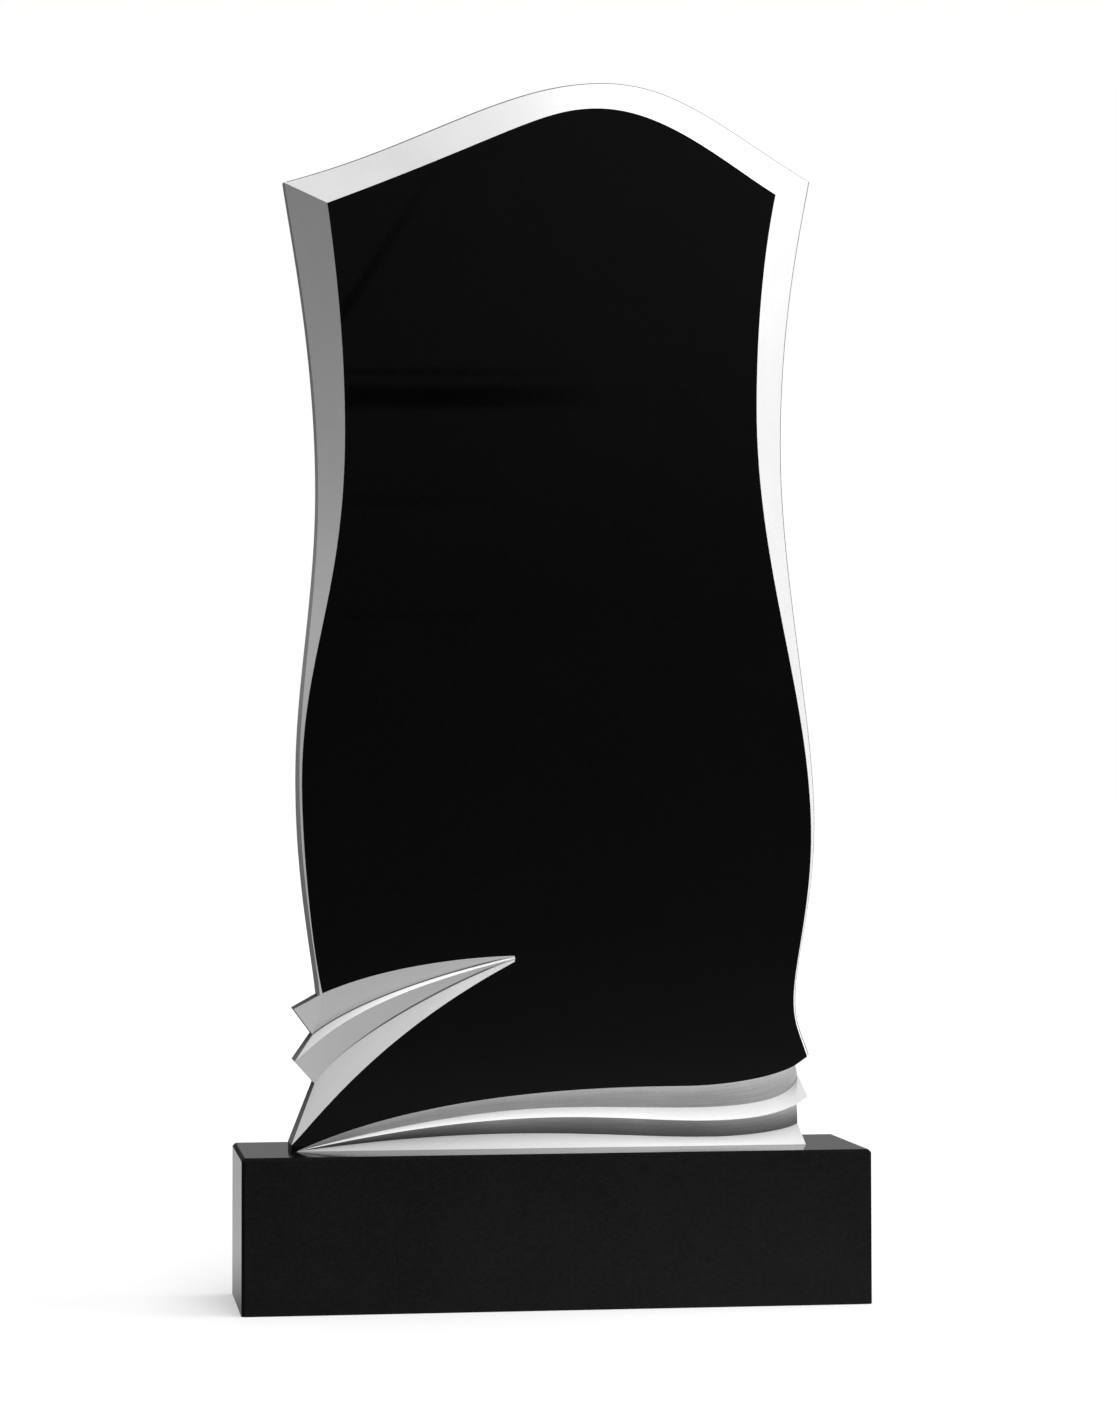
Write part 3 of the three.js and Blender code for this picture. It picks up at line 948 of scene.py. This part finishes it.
for rows, stone, levels in cuts:
    add_patch(rows, stone, levels)
add_face([pleat_corner, *left_bevel[::-1, -1], *pleat_a[1:, 0]], milled, painted_light=END_FACE_PAINTED_LIGHT)
add_face([*ribbon_b[:, -1], ridge_tip], milled, painted_light=END_FACE_PAINTED_LIGHT)
add_face([*ribbon_c[:, -1], notch], coarse, painted_light=NOTCH_PAINTED_SHADE)
print("carved faces:", len(slab.faces))

# %% [markdown]
# ## The polished face and the rim
#
# The polished face is one flat polygon inside the carving. The slab's sides start from a rim that runs
# round the outside of it: foot, pleats, left bevel, top bevel, right bevel and ribbons.
#
# Sharp outer edges are eased with a stroke of the hand grinder, because granite left sharp chips and cuts
# fingers. That leaves a chamfer of about 2 mm, ground to a middle grey. In the picture it is paler along
# the left bevel and almost black along the top and the right. So each part of the rim gets painted light
# and shade on that grey, one level for its eased edge and one for the side behind it, and painted shade
# almost black at the foot, where the slab meets the plinth.

# %% Polished face and rim
nose = [*pleat_a[:, -1], *pleat_b[1:, -1], *pleat_c[1:, -1], *pleat_d[1:, -1]]
face_outline = [
    *face_left[:-1], *pleat_top[:-1], *nose, *pleat_bottom[-2::-1], foot_left,
    *ribbon_top, *face_right[:0:-1], *face_top[:0:-1],
]
polished = add_face(face_outline, polished_face)

ribbon_ends = [
    *right_bevel[-2::-1, -1], *ribbon_a[:, -1], ridge_tip, ribbon_ridge[-1], notch, *ribbon_d[:, -1],
]
rim_parts = [
    ([foot_left], 0.08, 0.08),
    ([*pleat_d[::-1, 0], *pleat_c[-2::-1, 0], *pleat_b[-2::-1, 0]], 0.5, 0.5),
    ([pleat_corner], 0.2, 0.2),
    (left_bevel[-1, ::-1], 2.2, 1.6),
    (top_bevel[-1, 1:], 0.25, 1.0),
    (right_bevel[-1, 1:], 0.1, 1.0),
    ([*ribbon_ends, *ribbon_d[-1, -2::-1]], 1.0, 1.0),
]  # points, painted light and shade of the eased edge, painted light and shade of the side
front_rim = [point for points, _, _ in rim_parts for point in points]
edge_painted_light = [edge for points, edge, _ in rim_parts for _ in points]
side_painted_light = [side for points, _, side in rim_parts for _ in points]
print("points round the rim:", len(front_rim))

# %% [markdown]
# ## The sides and the back
#
# The sides are sawn square to the face, so the rim is simply carried back through the stone. Solidifying
# the front would do that too, but not with eased edges at both ends. So four rings are laid: the rim
# itself, the slab's true outline just behind it, the same near the back, and a slightly smaller one in
# the plane of the back. The back is one flat polygon, honed but not polished.

# %% Sides and back
true_edges = {}
for rows, edge in ((left_bevel, edge_left), (top_bevel, edge_top), (right_bevel, edge_right)):
    for eased, sharp in zip(rows[-1], edge):
        true_edges[tuple(eased)] = sharp


def set_back(point, depth):
    """The same point at another depth."""
    return spot(point[0], depth, point[2])


outline = [true_edges.get(tuple(point), point) for point in front_rim]
on_bevel = [tuple(point) in true_edges for point in front_rim]
plan = np.array([(point[0], point[2]) for point in outline])
steps = (np.roll(plan, -1, axis=0) - plan, plan - np.roll(plan, 1, axis=0))
tangents = [step / np.maximum(np.linalg.norm(step, axis=1), TINY)[:, None] for step in steps]
inwards = sum(tangents) @ np.array(((0, -1), (1, 0)))
inwards /= np.maximum(np.linalg.norm(inwards, axis=1), TINY)[:, None]
back_ring = [
    spot(
        point[0] + EASED_EDGE * inward[0], SLAB_THICKNESS,
        point[2] + EASED_EDGE * inward[1] * (point[2] > 0),
    )
    for point, inward in zip(outline, inwards)
]
rings = [
    front_rim,
    [set_back(point, point[1] + EASED_EDGE) for point in outline],
    [set_back(point, SLAB_THICKNESS - EASED_EDGE) for point in outline],
    back_ring,
]
ring_stones = [(arris, sawn, edge_painted_light), (sawn, sawn, side_painted_light), (arris, arris, side_painted_light)]
for ring, next_ring, (bevel_stone, other_stone, levels) in zip(rings, rings[1:], ring_stones):
    for i in range(len(ring)):
        j = (i + 1) % len(ring)
        stone = bevel_stone if on_bevel[i] and on_bevel[j] else other_stone
        add_face((ring[i], ring[j], next_ring[j], next_ring[i]), stone, painted_light=levels[i])
back = add_face(rings[-1], honed)
print("slab faces:", len(slab.faces))

# %% [markdown]
# ## Closing the skin
#
# The polished face and the back are polygons with hundreds of corners, and a renderer could cut them into
# triangles that overlap at the hollows. So they are cut here, once their normals are known. Then all
# normals are turned outwards. A closed skin has no open edges, which is the best check that the stone is
# one solid.

# %% Triangles, normals and a check for open edges
for face in (polished, back):
    face.normal_update()
bmesh.ops.triangulate(slab, faces=[polished, back])
bmesh.ops.recalc_face_normals(slab, faces=slab.faces)
open_edges = sum(not edge.is_manifold for edge in slab.edges)
print("faces after cutting:", len(slab.faces), "open edges:", open_edges)

# %% [markdown]
# ## The slab becomes a piece of the model
#
# An object puts the mesh in the scene, with its six stones. Smooth shading hides the steps between rows,
# and edges that turn by more than a few degrees are marked sharp, so that they stay crisp. The polished
# face and the back are shaded as true planes instead, because a mirror shows any bent normal.
#
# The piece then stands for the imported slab, which is hidden but keeps its place, and rides on the same
# body.

# %% Slab as a piece
CRISP = math.radians(7)  # neighbouring faces that meet at more than this show an edge
FLAT_STONES = (polished_face, honed)  # shaded as true planes right up to the carving


def make_piece(name, built, stones):
    """An object from a bmesh, with one material slot for each stone."""
    mesh = bpy.data.meshes.new(name)
    built.to_mesh(mesh)
    built.free()
    for stone in stones:
        mesh.materials.append(stone)
    mesh.set_sharp_from_angle(angle=CRISP)
    for facet in mesh.polygons:
        facet.use_smooth = mesh.materials[facet.material_index] not in FLAT_STONES
    piece = bpy.data.objects.new(name, mesh)
    bpy.context.scene.collection.objects.link(piece)
    return piece


carved_slab = make_piece("carved_slab", slab, slab_stones)
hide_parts("headstone_slab")
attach(carved_slab, "root")
print("slab triangles:", sum(len(facet.vertices) - 2 for facet in carved_slab.data.polygons))

# %% [markdown]
# ## The plinth
#
# The plinth is a sawn block, polished on all sides, with its upright and upper edges chamfered at 45
# degrees. Its outline has no sweeps, so a cube with two rounds of bevelling is enough: the chamfer first,
# and then a narrow rounding of the edges that are left, all but those on the ground. Polishing pads
# always round an arris a little, and that is what catches light. The chamfers themselves are duller than
# the sides.

# %% Plinth
PLINTH_CHAMFER = 3 * MM
ARRIS_RADIUS = 0.35 * MM
SQUARE_ON = 0.999  # cosine that tells the block's six sides from its chamfers
block_low, block_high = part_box("plinth")

block = bmesh.new()
bmesh.ops.create_cube(block, size=1)
middle, size = (block_low + block_high) / 2, block_high - block_low
for corner in block.verts:
    corner.co = middle + Vector(a * b for a, b in zip(corner.co, size))
chamfered = [edge for edge in block.edges if max(end.co.z for end in edge.verts) > middle.z]
bmesh.ops.bevel(block, geom=chamfered, offset=PLINTH_CHAMFER, segments=1, affect="EDGES")
arrises = [
    edge for edge in block.edges
    if edge.calc_face_angle(0) > CRISP and min(end.co.z for end in edge.verts) > block_low.z
]
bmesh.ops.bevel(block, geom=arrises, offset=ARRIS_RADIUS, segments=3, affect="EDGES")
for face in block.faces:
    face.normal_update()
    face.smooth = True
    face.material_index = 0 if max(abs(part) for part in face.normal) > SQUARE_ON else 1
plinth_block = make_piece("plinth_block", block, [polished_plinth, chamfer])
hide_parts("plinth")
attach(plinth_block, "root")
print("plinth faces:", len(plinth_block.data.polygons))
